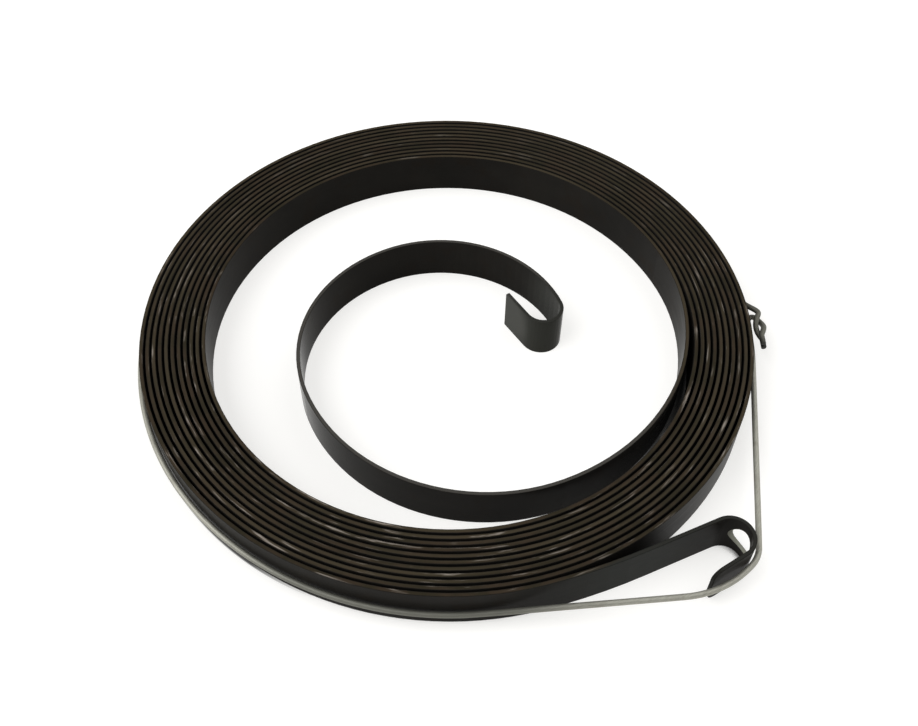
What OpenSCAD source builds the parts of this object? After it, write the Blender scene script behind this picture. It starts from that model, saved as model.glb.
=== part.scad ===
// Recoil starter spring: a flat spiral of spring-steel strip, wound into a pack and held by a tie wire.
// The coil axis is Z through the origin, and the strip's lower edge lies on Z = 0.

/* [Strip] */
// Width of the strip, which is the height of the coil as it lies
strip_w = 8; // [6:0.5:12]
// Thickness of the strip
strip_t = 0.6; // [0.4:0.05:0.8]
// Corner radius at the strip's end on the outer hook
outer_end_r = 1.8; // [0.4:0.1:2]
// Corner radius at the strip's end on the inner hook
inner_end_r = 0.2; // [0.1:0.1:2]

/* [Wound pack] */
// Clear diameter inside the innermost wound turn
pack_bore = 80.8; // [70:0.2:110]
// Number of turns that lie together
pack_turns = 10.73; // [5.6:0.01:13.8]
// Gap between one turn and the next
turn_gap = 0.42; // [0.3:0.02:0.7]
// Direction, seen from above, in which the innermost turn leaves the pack
seat_angle = 22.5; // [0:0.5:45]

/* [Free inner turn] */
// Angle that the free turn covers between the pack and the inner hook
free_sweep = 363; // [345:1:370]
// Radius of the free turn beside the hub
hub_r = 21.86; // [19:0.02:25]

/* [Hooks] */
// Inside radius of the bends of both hooks
hook_r = 2.95; // [2.4:0.05:3.4]
// Angle of the inner hook's bend
inner_bend = 166; // [130:1:180]
// Straight arm of the inner hook
inner_arm = 5.9; // [4:0.1:8]
// Angle of the outer hook's bend
outer_bend = 172; // [155:1:180]
// Straight arm of the outer hook
outer_arm = 6.3; // [5:0.1:8]
// Diameter of the hole punched through the middle of the outer bend
hook_hole = 4.5; // [2:0.1:4.6]

/* [Outer run] */
// Radius at which the strip eases away from the pack
lead_r = 105; // [80:1:150]
// Angle of that easing
lead_sweep = 9; // [5:0.1:12]
// Straight run from there to the outer hook
lead_len = 12; // [9:0.1:20]

/* [Tie wire] */
// Diameter of the tie wire
tie_d = 1; // [0.8:0.05:1.3]
// Height of the wire's middle where it leaves the pack for the outer hook
tie_pack_z = 3.4; // [2:0.1:5]
// Height of the wire's middle at the outer hook and at the twist
tie_hook_z = 4.4; // [2:0.1:5]
// Play between the wire and the strip, and between the two ends at the tip of their twist
tie_clear = 0.1; // [0.06:0.02:0.2]
// Angle round the coil axis from where the wire meets the pack beyond the hook to the twist that closes it
twist_ahead = 11.5; // [4:0.5:60]
// Length of the twisted pair
twist_len = 6.5; // [6:0.1:12]
// Length at its tip where the two ends lie side by side
twist_tip = 2; // [0:0.1:4]
// Length over which the pair makes one full turn
twist_pitch = 8.4; // [8:0.1:14]

/* [Hidden] */

// Distance by which the straight steps of a curve stand off from it
sag = 0.014;
function steps_of(r, sweep) = ceil(sweep / (2 * acos(1 - sag / r)));

// Unit vector at an angle, and the one to the left of a heading
function u(a) = [cos(a), sin(a)];
function left(a) = u(a + 90);
// Angle brought to between 0 and 360
function turn_of(a) = a - 360 * floor(a / 360);

// Spiral of the pack: half circles about two centres, each half a pitch wider than the one before.
// Directions in the plan count from the place where the free turn leaves the pack.
pitch = strip_t + turn_gap;
seat_r = pack_bore / 2 + strip_t / 2;
pack_sweep = pack_turns * 360;
half_turns = ceil(pack_sweep / 180) - 1;
function pack_centre(i) = [(i % 2 == 0 ? -1 : 1) * pitch / 4, 0];
function pack_r(i) = seat_r + pitch / 4 + i * pitch / 2;
// Point at an angle along the pack, at a distance outside the strip's middle
function pack_point(a, off = 0) =
    let (i = floor(a / 180)) pack_centre(i) + (pack_r(i) + off) * u(a);
// Angle along the outermost turn of the pack that lies in a given direction
function outer_turn(a) = pack_sweep - turn_of(pack_sweep - a);

// A stretch of strip is [radius, sweep] for a bend, which turns left where the radius is positive,
// or [0, length] for a straight run. A place is [x, y, heading].
function xy(place) = [place[0], place[1]];
function centre_of(place, r) = xy(place) + r * left(place[2]);
function after(place, s) =
    s[0] == 0
    ? concat(xy(place) + s[1] * u(place[2]), [place[2]])
    : let (heading = place[2] + sign(s[0]) * s[1])
      concat(centre_of(place, s[0]) - s[0] * left(heading), [heading]);
function place_at(start, stretches, n) =
    n == 0 ? start : after(place_at(start, stretches, n - 1), stretches[n - 1]);
function steps(s) = s[0] == 0 ? 1 : steps_of(abs(s[0]), s[1]);
// Places along stretches laid end to end
function places(start, stretches) = concat([start], [
    for (n = [0 : len(stretches) - 1])
        let (from = place_at(start, stretches, n), s = stretches[n])
            for (k = [1 : steps(s)]) after(from, [s[0], s[1] * k / steps(s)])
]);

// Inward from the pack: quarter circles that ease to the hub, the rest of the free turn, the hook
bend_r = hook_r + strip_t / 2;
// Share of the way from the pack's radius to the hub's, for each quarter of the free turn
free_ease = [0.204, 0.505, 0.86, 1];
// Radii in hundredths, so that the quarters join without a step
free_r = [for (ease = free_ease) round((seat_r - (seat_r - hub_r) * ease) * 100) / 100];
free_start = concat(pack_point(0), [-90]);
free_quarters = [for (i = [0 : 2]) [-free_r[i], 90]];
inner_start = place_at(free_start, free_quarters, 3);
inner_stretches = [[-free_r[3], free_sweep - 270], [-bend_r, inner_bend], [0, inner_arm]];

// Outward from the pack: the rest of its last turn, the lead-out, the hook
last_r = pack_r(half_turns);
outer_start = concat(pack_centre(half_turns) + last_r * u(180 * half_turns), [180 * half_turns + 90]);
outer_stretches = [
    [last_r, pack_sweep - 180 * half_turns], [lead_r, lead_sweep], [0, lead_len],
    [-bend_r, outer_bend], [0, outer_arm]
];
outer_bend_start = place_at(outer_start, outer_stretches, 3);
outer_bend_centre = centre_of(outer_bend_start, -bend_r);
outer_end = place_at(outer_start, outer_stretches, len(outer_stretches));

// Strip bent through a part of a circle about a centre
module bent(centre, r, from, sweep) {
    translate(concat(centre, [0]))
        rotate([0, 0, from])
        rotate_extrude(angle = sweep, $fn = 96)
        translate([r - strip_t / 2, 0])
        square([strip_t, strip_w]);
}

// Cutter for both corners at a free end of the strip
module end_corners(place, end_r) {
    for (top = [0, 1])
        translate([place[0], place[1], top * strip_w])
            rotate([0, 0, place[2]])
            mirror([0, 0, top])
            translate([-end_r, 0, end_r])
            difference() {
                translate([0, -strip_t, -2 * end_r])
                    cube([2 * end_r, 2 * strip_t, 2 * end_r]);
                rotate([90, 0, 0])
                    cylinder(r = end_r, h = 4 * strip_t, center = true, $fn = 48);
            }
}

// Strip that follows stretches to a free end
module tail(start, stretches, end_r) {
    run = places(start, stretches);
    near_side = [for (p = run) xy(p) + strip_t / 2 * left(p[2])];
    far_side = [for (i = [len(run) - 1 : -1 : 0]) xy(run[i]) - strip_t / 2 * left(run[i][2])];
    difference() {
        linear_extrude(strip_w)
            polygon(concat(near_side, far_side));
        end_corners(run[len(run) - 1], end_r);
    }
}

// Spring strip, one piece from hook to hook
module spring_strip() {
    color("#2b2a27")
    rotate([0, 0, seat_angle])
    union() {
        for (i = [0 : half_turns - 1])
            bent(pack_centre(i), pack_r(i), 180 * i, 180);
        for (i = [0 : 2])
            bent(centre_of(place_at(free_start, free_quarters, i), -free_r[i]), free_r[i], -90 * (i + 1), 90);
        tail(inner_start, inner_stretches, inner_end_r);
        difference() {
            tail(outer_start, outer_stretches, outer_end_r);
            translate(concat(outer_bend_centre, [strip_w / 2]))
                rotate([0, 90, outer_bend_start[2] + 90 - outer_bend / 2])
                cylinder(d = hook_hole, h = bend_r + strip_t, $fn = 48);
        }
    }
}

// The tie wire runs once round the pack and the outer hook. Its middle lies on a chain of circles:
// the pack at the front, the tip of the hook's arm, the hook's bend, the pack beyond the hook.
tie_off = strip_t / 2 + tie_clear + tie_d / 2;
function pack_circle(a) =
    let (i = floor(outer_turn(a) / 180)) concat(pack_centre(i), [pack_r(i) + tie_off]);
// Stiff wire follows a wider circle than the one that it rests on, and touches it in one direction
function eased(circle, by, touch) = concat(xy(circle) - by * u(touch), [circle[2] + by]);
tip_ease = 16;
bend_ease = 1.5;
// Directions of touch, from the outer hook's arm
tip_touch = outer_end[2] + 78;
bend_touch = outer_end[2] + 95;
tip = eased(
    concat(xy(outer_end) + strip_t / 2 * left(outer_end[2]), [tie_clear + tie_d / 2]), tip_ease, tip_touch);
bend = eased(concat(outer_bend_centre, [bend_r + tie_off]), bend_ease, bend_touch);
// Heading of the line drawn taut from one circle to the next
function taut(from, to) =
    let (d = xy(to) - xy(from))
    atan2(d[1], d[0]) + 90 - acos((from[2] - to[2]) / norm(d));
front_heading = taut(pack_circle(pack_sweep), tip);
arm_heading = taut(tip, bend);
// From the bend to the pack: first to its circle beside the hook, then to the one where that line ends
function back_to(heading) = taut(bend, pack_circle(heading - 90));
back_heading = back_to(back_to(outer_bend_start[2]));
// Directions in which the wire meets the pack again, closes in the twist, and leaves the pack for the hook
rejoin_at = pack_sweep + turn_of(back_heading - 90 - pack_sweep);
twist_at = rejoin_at + twist_ahead;
leave_at = twist_at + turn_of(front_heading - 90 - twist_at);
// Points on a circle between two headings
function held(circle, from, to) =
    let (n = steps_of(circle[2], to - from))
    [for (k = [0 : n]) xy(circle) + circle[2] * u(from + (to - from) * k / n - 90)];
// Points on the pack between two directions
function wrapped(from, to) =
    let (n = steps_of(seat_r, to - from))
    [for (k = [0 : n]) pack_point(outer_turn(from + (to - from) * k / n), tie_off)];

// The twisted pair lies beside the pack and closes up towards its tip.
// One strand runs on from the pack into it, and the other turns back into it.
// Room between the wire on the pack and the pair's middle line at its foot, and its angle from the way out
foot_gap = 1.65;
lean = 94;
lift = foot_gap + tie_d / 2;
// Angles from its foot to where they leave the pack, and the reach of their curves at both ends
spread = [5.2, 2.6];
pack_reach = [2.2, 2.7];
foot_reach = [1.2, 1.4];
foot_steps = 12;
function of_strand(values, side) = values[side > 0 ? 0 : 1];
// Direction of the strands round the pair's middle line at its foot, and their room there
foot_turn = 95;
foot_room = 0.15;
twist_r = (tie_d + tie_clear) / 2;
twist_foot = concat(pack_point(outer_turn(twist_at), tie_off) + lift * u(twist_at), [twist_at - lean]);
function strand_point(s, side) =
    let (
        p = after(twist_foot, [0, s]),
        a = foot_turn + 360 * min(s, twist_len - twist_tip) / twist_pitch,
        r = side * (twist_r + foot_room * (1 - s / twist_len)),
        m = xy(p) + r * cos(a) * left(p[2])
    )
    [m[0], m[1], tie_hook_z + r * sin(a)];
strand_step = 0.5;
strand_steps = ceil(twist_len / strand_step);
function strand(side) = [for (k = [0 : strand_steps]) strand_point(twist_len * k / strand_steps, side)];
// Plan points brought to a height that runs from one value to another
function raised(points, from, to) =
    let (n = len(points) - 1)
    [for (i = [0 : n]) [points[i][0], points[i][1], from + (to - from) * i / n]];
function backward(points) = [for (i = [len(points) - 1 : -1 : 0]) points[i]];
// Curve from the pack into a strand, without its ends
function foot_curve(side) =
    let (
        from = twist_at + side * of_strand(spread, side),
        p = concat(pack_point(outer_turn(from), tie_off), [tie_hook_z]),
        along = -side * concat(left(from), [0]),
        s = strand_point(0, side),
        out = unit(strand_point(strand_step, side) - s)
    )
    [for (k = [1 : foot_steps - 1])
        let (
            t = k / foot_steps,
            q = p + of_strand(pack_reach, side) * along,
            r = s - of_strand(foot_reach, side) * out
        )
        (1 - t) ^ 3 * p + 3 * t * (1 - t) ^ 2 * q + 3 * t ^ 2 * (1 - t) * r + t ^ 3 * s];

tie_path = concat(
    backward(strand(1)),
    backward(foot_curve(1)),
    raised(wrapped(twist_at + of_strand(spread, 1), leave_at), tie_hook_z, tie_pack_z),
    raised(held(tip, front_heading, arm_heading), tie_hook_z, tie_hook_z),
    raised(held(bend, arm_heading, back_heading), tie_hook_z, tie_hook_z),
    raised(wrapped(rejoin_at, twist_at - of_strand(spread, -1)), tie_hook_z, tie_hook_z),
    foot_curve(-1),
    strand(-1));

// Round wire along a path that never stands upright
wire_sides = 10;
function unit(v) = v / norm(v);
function heading_at(path, i) =
    unit((i == 0 ? [0, 0, 0] : unit(path[i] - path[i - 1]))
        + (i == len(path) - 1 ? [0, 0, 0] : unit(path[i + 1] - path[i])));
function ring(path, i) =
    let (t = heading_at(path, i), across = unit(cross([0, 0, 1], t)), up = cross(t, across))
    [for (k = [0 : wire_sides - 1])
        path[i] + tie_d / 2 * (cos(360 * k / wire_sides) * across + sin(360 * k / wire_sides) * up)];

module wire(path) {
    n = len(path);
    m = wire_sides;
    polyhedron(
        points = [for (i = [0 : n - 1]) each ring(path, i)],
        faces = concat(
            [[for (k = [0 : m - 1]) k]],
            [for (i = [0 : n - 2]) for (k = [0 : m - 1])
                each [
                    [i * m + k, (i + 1) * m + k, (i + 1) * m + (k + 1) % m],
                    [i * m + k, (i + 1) * m + (k + 1) % m, i * m + (k + 1) % m]
                ]],
            [[for (k = [m - 1 : -1 : 0]) (n - 1) * m + k]]));
}

// Tie wire that holds the pack wound, its two ends twisted together
module tie_wire() {
    color("#8f8d84")
    rotate([0, 0, seat_angle])
    wire(tie_path);
}

spring_strip();
tie_wire();
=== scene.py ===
import math
from collections import namedtuple

import bpy
from mathutils import Euler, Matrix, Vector

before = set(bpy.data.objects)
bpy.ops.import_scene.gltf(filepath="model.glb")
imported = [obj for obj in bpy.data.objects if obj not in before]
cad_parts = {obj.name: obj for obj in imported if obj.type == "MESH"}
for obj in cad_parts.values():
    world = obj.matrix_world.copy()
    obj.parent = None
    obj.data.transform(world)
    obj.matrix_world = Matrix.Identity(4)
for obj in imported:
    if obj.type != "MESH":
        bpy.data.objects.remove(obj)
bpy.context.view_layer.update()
scene = bpy.context.scene

# Camera, fitted to the photograph
CAMERA_AT = (0.0, -0.122496, 0.150248)
CAMERA_TURN_DEG = (38.3474, -0.5066, -0.2022)
CAMERA_LENS = 43.358
CAMERA_SENSOR = 36.0
CAMERA_CLIP = 0.005

# Places on the part that the materials follow, in mm; pairs are the start and end of a change
MID = 4.0                        # middle of the strip's width
TURNS_R = 46.0                   # mean radius of the wound turns, for lengths along the strip
WOUND_MID_R = 46.3               # middle of the band of wound turns
WOUND_HALF = (5.7, 5.3)
OUTSIDE_R = (51.7, 52.4)         # out of the pack, to the outer run and hook
FREE_TURN_R = (39.9, 38.6)       # in from the pack, to the free turn
FOOT_R = 51.8                    # foot of the pack's outer wall
FOOT_HALF = (0.45, 0.2)
FOOT_LEFT_X = (-20.0, -30.0)
WIRE_R = 52.0
INNER_HOOK = (16.0, 2.3, MID)
INNER_ARM = (10.0, 5.0, MID)
OUTER_HOOK = (36.0, -44.0, MID)
OUTER_RUN = (24.0, -48.0, MID)
HOLE = (44.507, -40.638, MID)
HOLE_AXIS = (0.88048, 0.47409, 0.0)
HOLE_WALL = (2.0, 2.33)          # distances from the hole's axis that take in its wall
WIRE_FRONT = (-8.0, -53.0, 3.4)
WIRE_TWIST = (54.0, 1.0, MID)
WIRE_TIP = (53.9, -3.4, MID)

# The strip's flat sides
OXIDE_DARK = (0.0120, 0.0111, 0.0101, 1)
OXIDE_PALE = (0.0178, 0.0162, 0.0143, 1)
OXIDE_BROWN = (0.016, 0.0115, 0.0080, 1)
OXIDE_STREAK = (0.014, 0.014, 0.0125, 1)
OXIDE_GREEN = (0.018, 0.0205, 0.0180, 1)
# Painted light: the inner hook paler than the oxide, its arm paler still
INNER_HOOK_PAINTED_LIGHT = (0.043, 0.0445, 0.0390, 1)
INNER_ARM_PAINTED_LIGHT = (0.070, 0.0710, 0.0640, 1)
BARE_STEEL = (0.30, 0.30, 0.25, 1)
SHEEN = (1.0, 0.95, 0.84, 1)
OXIDE_IOR = 1.08

# Its narrow edges
EDGE_ROUND = 0.00024
EDGE_OLIVE = (0.023, 0.0195, 0.0120, 1)
EDGE_BROWN = (0.033, 0.0240, 0.0160, 1)
EDGE_PALE = (0.047, 0.0380, 0.0240, 1)
EDGE_FREE_TURN = (0.050, 0.047, 0.042, 1)
EDGE_HOOK = (0.022, 0.022, 0.0195, 1)
# Painted highlight for the glints on the rubbed edges
EDGE_GLINT_PAINTED = (0.25, 0.220, 0.190, 1)

# The wire
WIRE_DARK = (0.28, 0.275, 0.235, 1)
WIRE_PALE = (0.41, 0.405, 0.350, 1)
WIRE_PATCH = (0.22, 0.21, 0.175, 1)
WIRE_FRONT_PAINTED_SHADE = (0.100, 0.101, 0.085, 1)
WIRE_TWISTED = (0.105, 0.103, 0.083, 1)
WIRE_CUT_END = (0.025, 0.025, 0.022, 1)
WIRE_METAL = 0.6
WIRE_WELD = 0.000005
WIRE_SMOOTHING = 2

# Floor and light
FLOOR_HALF = 1.5
FLOOR_Z = -0.00005
FLOOR_LIT = (0.50, 0.497, 0.487, 1)
FLOOR_GLOW = (1, 0.993, 0.975, 1)
FLOOR_GLOW_STRENGTH = 0.60
FLOOR_DIM = (0.50, 0.488, 0.46, 1)
GAP_REACH = 0.006
BLACK = (0, 0, 0, 1)
WHITE = (1, 1, 1, 1)
WORLD_STRENGTH = 0.42
LIGHT_AIM = (0, 0, 0.004)
LIGHT_SIZE = 1.2
LEFT_LIGHT_AT, LEFT_LIGHT_POWER = (-0.75, -0.2, 0.85), 13.0
RIGHT_LIGHT_AT, RIGHT_LIGHT_POWER = (0.75, 0.2, 0.85), 6.0

MM_PER_M = 1000.0
Place = namedtuple("Place", "mm x y z radius angle")


class Graph:
    """Builds a material's nodes from values and other nodes' outputs."""

    def __init__(self, name):
        self.mat = bpy.data.materials.new(name)
        self.mat.use_nodes = True
        self.tree = self.mat.node_tree
        self.tree.nodes.clear()

    def add(self, kind, **settings):
        node = self.tree.nodes.new(kind)
        for key, value in settings.items():
            setattr(node, key, value)
        return node

    def feed(self, socket, value):
        """Links an output to a socket, or sets the socket's own value."""
        if isinstance(value, bpy.types.NodeSocket):
            self.tree.links.new(value, socket)
        else:
            socket.default_value = value

    def math(self, op, *values):
        node = self.add("ShaderNodeMath", operation=op)
        for socket, value in zip(node.inputs, values):
            self.feed(socket, value)
        return node.outputs[0]

    def times(self, a, b):
        return self.math("MULTIPLY", a, b)

    def off(self, value, middle):
        """How far a value is from the middle, either way."""
        return self.math("ABSOLUTE", self.math("SUBTRACT", value, middle))

    def span(self, value, low, high, to_low=0.0, to_high=1.0, smooth=False):
        """Maps one range to another, held at its ends."""
        node = self.add("ShaderNodeMapRange", interpolation_type="SMOOTHSTEP" if smooth else "LINEAR")
        self.feed(node.inputs["Value"], value)
        node.inputs["From Min"].default_value = low
        node.inputs["From Max"].default_value = high
        node.inputs["To Min"].default_value = to_low
        node.inputs["To Max"].default_value = to_high
        return node.outputs["Result"]

    def noise(self, vector, scale, detail, rough):
        node = self.add("ShaderNodeTexNoise", noise_dimensions="3D")
        self.feed(node.inputs["Vector"], vector)
        node.inputs["Scale"].default_value = scale
        node.inputs["Detail"].default_value = detail
        node.inputs["Roughness"].default_value = rough
        return node.outputs["Fac"]

    def vector(self, *values):
        node = self.add("ShaderNodeCombineXYZ")
        for socket, value in zip(node.inputs, values):
            self.feed(socket, value)
        return node.outputs[0]

    def split(self, vector):
        node = self.add("ShaderNodeSeparateXYZ")
        self.feed(node.inputs[0], vector)
        return node.outputs

    def mix(self, share, a, b):
        node = self.add("ShaderNodeMix", data_type="RGBA")
        self.feed(node.inputs[0], share)
        self.feed(node.inputs[6], a)
        self.feed(node.inputs[7], b)
        return node.outputs[2]

    def place(self):
        """Object coordinates in millimetres, with the radius and the way round the coil axis."""
        scale = self.add("ShaderNodeVectorMath", operation="SCALE")
        self.feed(scale.inputs[0], self.add("ShaderNodeTexCoord").outputs["Object"])
        scale.inputs["Scale"].default_value = MM_PER_M
        mm = scale.outputs[0]
        x, y, z = self.split(mm)
        radius = self.math("SQRT", self.math("ADD", self.times(x, x), self.times(y, y)))
        return Place(mm, x, y, z, radius, self.math("ARCTAN2", y, x))

    def upright(self, normal):
        """One where a normal points straight up or down, nought where it is level."""
        return self.math("ABSOLUTE", self.split(normal)[2])

    def near(self, mm, point, full, gone):
        """One within the first distance of a point, falling to nought at the second."""
        node = self.add("ShaderNodeVectorMath", operation="DISTANCE")
        self.feed(node.inputs[0], mm)
        node.inputs[1].default_value = point
        return self.span(node.outputs["Value"], gone, full, smooth=True)

    def off_line(self, mm, point, axis):
        """Distance from a line through a point."""
        away = self.add("ShaderNodeVectorMath", operation="SUBTRACT")
        self.feed(away.inputs[0], mm)
        away.inputs[1].default_value = point
        cross = self.add("ShaderNodeVectorMath", operation="CROSS_PRODUCT")
        self.feed(cross.inputs[0], away.outputs[0])
        cross.inputs[1].default_value = axis
        length = self.add("ShaderNodeVectorMath", operation="LENGTH")
        self.feed(length.inputs[0], cross.outputs[0])
        return length.outputs["Value"]

    def bump(self, height, strength, distance, normal=None):
        node = self.add("ShaderNodeBump")
        node.inputs["Strength"].default_value = strength
        node.inputs["Distance"].default_value = distance
        self.feed(node.inputs["Height"], height)
        if normal is not None:
            self.feed(node.inputs["Normal"], normal)
        return node.outputs[0]

    def finish(self, shader):
        self.feed(self.add("ShaderNodeOutputMaterial").inputs[0], shader)
        return self.mat

    def surface(self, **sockets):
        shader = self.add("ShaderNodeBsdfPrincipled")
        for key, value in sockets.items():
            self.feed(shader.inputs[key.replace("_", " ")], value)
        return self.finish(shader.outputs[0])


def spring_steel():
    """Dark oxide steel with worn, rolled edges, painted shade on their flanks, painted glints on their crowns
    and painted light on the inner hook.
    """
    g = Graph("spring_steel")
    at = g.place()
    along = g.times(at.angle, TURNS_R)
    # Rolled surface: long fine streaks that run with the strip
    streak = g.noise(g.vector(g.times(along, 0.10), g.times(at.radius, 2.2), g.times(at.z, 3.0)), 1.0, 4.0, 0.6)
    cloud = g.noise(at.mm, 0.09, 3.0, 0.55)
    tint = g.noise(at.mm, 0.22, 4.0, 0.6)

    # The narrow edges face up and down, and are rolled round
    flat_normal = g.add("ShaderNodeNewGeometry").outputs["True Normal"]
    edge = g.math("GREATER_THAN", g.upright(flat_normal), 0.7)
    bevel = g.add("ShaderNodeBevel", samples=6)
    bevel.inputs["Radius"].default_value = EDGE_ROUND
    round_normal = bevel.outputs[0]
    level = g.upright(round_normal)
    # Painted shade: the worn edge colour holds on the crown and fades to the darker side colour down the flanks
    crown_and_flank_shade = g.times(edge, g.span(level, 0.90, 1.0, smooth=True))
    ridge = g.times(edge, g.span(level, 0.93, 0.995, smooth=True))

    # Where the strip is in the coil
    wound = g.span(g.off(at.radius, WOUND_MID_R), *WOUND_HALF)
    outside = g.span(at.radius, *OUTSIDE_R)
    free_turn = g.span(at.radius, *FREE_TURN_R)
    inner_hook = g.near(at.mm, INNER_HOOK, 4.0, 11.0)
    inner_arm = g.near(at.mm, INNER_ARM, 4.0, 7.0)
    outer_hook = g.times(g.near(at.mm, OUTER_HOOK, 14.0, 34.0), outside)
    outer_run = g.times(g.near(at.mm, OUTER_RUN, 7.0, 19.0), outside)

    # Oxide on the flat sides, greener on the outer run; painted light makes the inner hook paler, most of all
    # the arm that faces the left lamp
    base = g.mix(g.span(cloud, 0.35, 0.65), OXIDE_DARK, OXIDE_PALE)
    base = g.mix(g.times(g.span(tint, 0.5, 0.72, smooth=True), 0.5), base, OXIDE_BROWN)
    base = g.mix(g.times(g.span(streak, 0.35, 0.75), 0.35), base, OXIDE_STREAK)
    base = g.mix(g.times(outer_run, 0.8), base, OXIDE_GREEN)
    base = g.mix(g.times(inner_hook, 0.8), base, INNER_HOOK_PAINTED_LIGHT)
    base = g.mix(g.times(inner_arm, 0.8), base, INNER_ARM_PAINTED_LIGHT)

    # Edges: brown to olive
    turn = g.noise(g.vector(g.times(along, 0.025), at.radius, 7.0), 0.9, 2.0, 0.5)
    worn = g.mix(g.span(tint, 0.38, 0.62, smooth=True), EDGE_OLIVE, EDGE_BROWN)
    worn = g.mix(g.span(turn, 0.42, 0.68, 0.0, 0.8), worn, EDGE_PALE)
    worn = g.mix(free_turn, worn, EDGE_FREE_TURN)
    worn = g.mix(g.math("MAXIMUM", inner_hook, outer_hook), worn, EDGE_HOOK)
    # Painted shade: worn colour on the crowns, side colour on the flanks
    base = g.mix(crown_and_flank_shade, base, worn)

    # Painted highlights: short bright glints on the crowns of the wound turns' edges where they are rubbed,
    # fainter at the far side
    rub_glint_noise = g.noise(g.vector(g.times(along, 0.13), g.times(at.radius, 1.3), 0.0), 1.0, 3.0, 0.6)
    glint = g.times(g.span(rub_glint_noise, 0.565, 0.75, smooth=True), ridge)
    glint = g.times(g.times(glint, g.span(at.y, -5.0, 25.0, 1.0, 0.3)), wound)
    base = g.mix(glint, base, EDGE_GLINT_PAINTED)

    # The punched wall of the hole is bare
    away = g.off_line(at.mm, HOLE, HOLE_AXIS)
    bare = g.times(g.math("GREATER_THAN", away, HOLE_WALL[0]), g.math("LESS_THAN", away, HOLE_WALL[1]))
    base = g.mix(g.times(bare, 0.8), base, BARE_STEEL)

    # The free turn is glossier than the pack, and the edges are duller
    rough = g.math("SUBTRACT", g.span(streak, 0.3, 0.7, 0.29, 0.38), g.times(free_turn, 0.17))
    rough = g.math("ADD", rough, g.times(edge, 0.18))
    normal = g.bump(streak, 0.08, 0.00006, round_normal)
    return g.surface(Base_Color=base, Metallic=0.0, Roughness=rough, Normal=normal, IOR=OXIDE_IOR,
                     Specular_Tint=SHEEN)


def wire_steel():
    """Drawn wire, dull, with painted shade along the front and darker at the twisted ends."""
    g = Graph("wire_steel")
    at = g.place()
    along = g.times(at.angle, WIRE_R)
    drawn = g.noise(g.vector(g.times(along, 0.2), g.times(at.radius, 6.0), g.times(at.z, 6.0)), 1.0, 3.0, 0.6)
    patch = g.noise(at.mm, 0.35, 4.0, 0.6)
    base = g.mix(g.span(drawn, 0.3, 0.7), WIRE_DARK, WIRE_PALE)
    base = g.mix(g.times(g.span(patch, 0.52, 0.70, smooth=True), 0.4), base, WIRE_PATCH)
    # Painted shade along the front of the wire
    base = g.mix(g.times(g.near(at.mm, WIRE_FRONT, 14.0, 36.0), 0.8), base, WIRE_FRONT_PAINTED_SHADE)
    base = g.mix(g.times(g.near(at.mm, WIRE_TWIST, 5.5, 9.0), 0.9), base, WIRE_TWISTED)
    base = g.mix(g.near(at.mm, WIRE_TIP, 0.9, 2.4), base, WIRE_CUT_END)
    rough = g.span(drawn, 0.3, 0.7, 0.46, 0.60)
    normal = g.bump(drawn, 0.15, 0.00008)
    return g.surface(Base_Color=base, Metallic=WIRE_METAL, Roughness=rough, Normal=normal)


def floor_material():
    """White to the camera and in reflections, with the part's shadow; plain grey to other rays."""
    g = Graph("floor")
    at = g.place()
    # Painted shade: the floor is darkened where little light reaches, in the narrow gaps between turns and in a
    # thin band at the foot of the pack's left side
    open_sky = g.add("ShaderNodeAmbientOcclusion", samples=32)
    open_sky.inputs["Distance"].default_value = GAP_REACH
    gap_share = g.math("POWER", g.span(open_sky.outputs["AO"], 0.0, 0.38), 6.0)
    foot_painted_shadow = g.times(g.span(g.off(at.radius, FOOT_R), *FOOT_HALF, 0.0, 0.9), g.span(at.x, *FOOT_LEFT_X))
    lit_share = g.times(gap_share, g.math("SUBTRACT", 1.0, foot_painted_shadow))

    lit = g.add("ShaderNodeBsdfDiffuse")
    g.feed(lit.inputs["Color"], g.mix(lit_share, BLACK, FLOOR_LIT))
    glow = g.add("ShaderNodeEmission")
    glow.inputs["Color"].default_value = FLOOR_GLOW
    g.feed(glow.inputs["Strength"], g.times(lit_share, FLOOR_GLOW_STRENGTH))
    white = g.add("ShaderNodeAddShader")
    g.feed(white.inputs[0], lit.outputs[0])
    g.feed(white.inputs[1], glow.outputs[0])
    dim = g.add("ShaderNodeBsdfDiffuse")
    dim.inputs["Color"].default_value = FLOOR_DIM

    ray = g.add("ShaderNodeLightPath").outputs
    shiny = g.math("MAXIMUM", ray["Is Glossy Ray"], ray["Is Transmission Ray"])
    pick = g.add("ShaderNodeMixShader")
    g.feed(pick.inputs[0], g.math("MAXIMUM", ray["Is Camera Ray"], shiny))
    g.feed(pick.inputs[1], dim.outputs[0])
    g.feed(pick.inputs[2], white.outputs[0])
    return g.finish(pick.outputs[0])


def dress(name, mat):
    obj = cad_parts[name]
    for slot in obj.material_slots:
        slot.material = mat
    return obj


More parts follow.
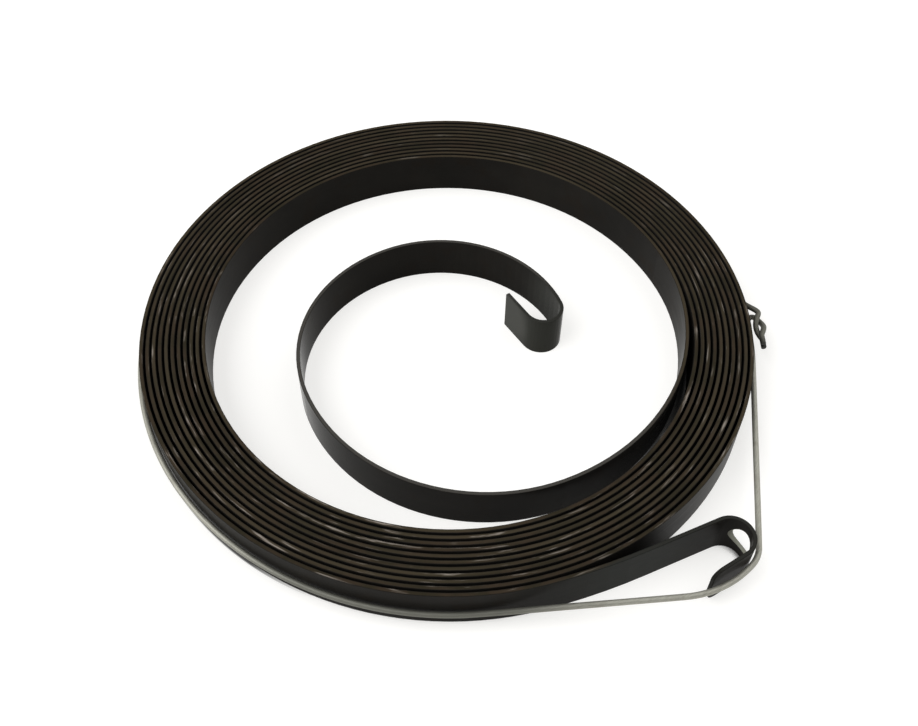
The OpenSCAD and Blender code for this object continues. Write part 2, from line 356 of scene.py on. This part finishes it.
def soft_light(name, where, power):
    data = bpy.data.lights.new(name, "AREA")
    data.shape = "RECTANGLE"
    data.size = data.size_y = LIGHT_SIZE
    data.energy = power
    obj = bpy.data.objects.new(name, data)
    obj.location = where
    obj.rotation_euler = (Vector(LIGHT_AIM) - Vector(where)).to_track_quat("-Z", "Y").to_euler()
    scene.collection.objects.link(obj)


# Camera
cam_data = bpy.data.cameras.new("camera")
cam_data.sensor_fit = "HORIZONTAL"
cam_data.sensor_width = CAMERA_SENSOR
cam_data.lens = CAMERA_LENS
cam_data.clip_start = CAMERA_CLIP
cam_data.dof.use_dof = False
camera = bpy.data.objects.new("camera", cam_data)
camera.location = CAMERA_AT
camera.rotation_euler = Euler([math.radians(turn) for turn in CAMERA_TURN_DEG], "XYZ")
scene.collection.objects.link(camera)
scene.camera = camera

# The part; the faceted wire is smoothed round
dress("spring_strip", spring_steel())
wire = dress("tie_wire", wire_steel())
weld = wire.modifiers.new("weld", "WELD")
weld.merge_threshold = WIRE_WELD
smooth = wire.modifiers.new("smooth", "SUBSURF")
smooth.levels = WIRE_SMOOTHING
smooth.render_levels = WIRE_SMOOTHING

# Floor
mesh = bpy.data.meshes.new("floor")
corners = [(-FLOOR_HALF, -FLOOR_HALF, 0), (FLOOR_HALF, -FLOOR_HALF, 0),
           (FLOOR_HALF, FLOOR_HALF, 0), (-FLOOR_HALF, FLOOR_HALF, 0)]
mesh.from_pydata(corners, [], [(0, 1, 2, 3)])
floor = bpy.data.objects.new("floor", mesh)
floor.data.materials.append(floor_material())
floor.location.z = FLOOR_Z
scene.collection.objects.link(floor)

# Light
soft_light("left", LEFT_LIGHT_AT, LEFT_LIGHT_POWER)
soft_light("right", RIGHT_LIGHT_AT, RIGHT_LIGHT_POWER)
world = bpy.data.worlds.new("studio")
world.use_nodes = True
background = world.node_tree.nodes["Background"]
background.inputs["Color"].default_value = WHITE
background.inputs["Strength"].default_value = WORLD_STRENGTH
scene.world = world
scene.view_settings.view_transform = "Standard"
